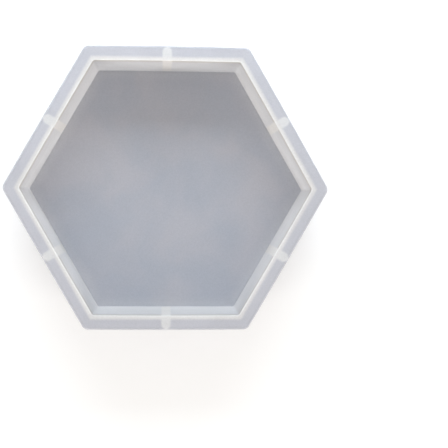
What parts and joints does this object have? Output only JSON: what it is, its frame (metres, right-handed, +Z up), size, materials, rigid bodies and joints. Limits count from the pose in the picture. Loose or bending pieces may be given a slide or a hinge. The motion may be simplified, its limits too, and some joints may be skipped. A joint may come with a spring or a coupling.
{
  "type": "resin casting mould",
  "caption": "Deep hexagonal silicone mould, open on top, with drafted walls, a flat rim flange and a stiffening rib behind each side.",
  "frame": {"origin": "middle of the underside, on the mould's axis", "axes": "+Z up out of the cavity; X from corner to corner, with two corners of the hexagon on it; Y square to two flat sides"},
  "size_m": [0.2214, 0.1932, 0.053],
  "materials": {
    "silicone": "satin"
  },
  "bodies": {
    "root": {"floor_panel": "silicone", "side_wall_1": "silicone", "side_wall_2": "silicone", "side_wall_3": "silicone", "side_wall_4": "silicone", "side_wall_5": "silicone", "side_wall_6": "silicone", "rim_flange_1": "silicone", "rim_flange_2": "silicone", "rim_flange_3": "silicone", "rim_flange_4": "silicone", "rim_flange_5": "silicone", "rim_flange_6": "silicone", "side_rib_1": "silicone", "side_rib_2": "silicone", "side_rib_3": "silicone", "side_rib_4": "silicone", "side_rib_5": "silicone", "side_rib_6": "silicone"}
  },
  "joints": []
}
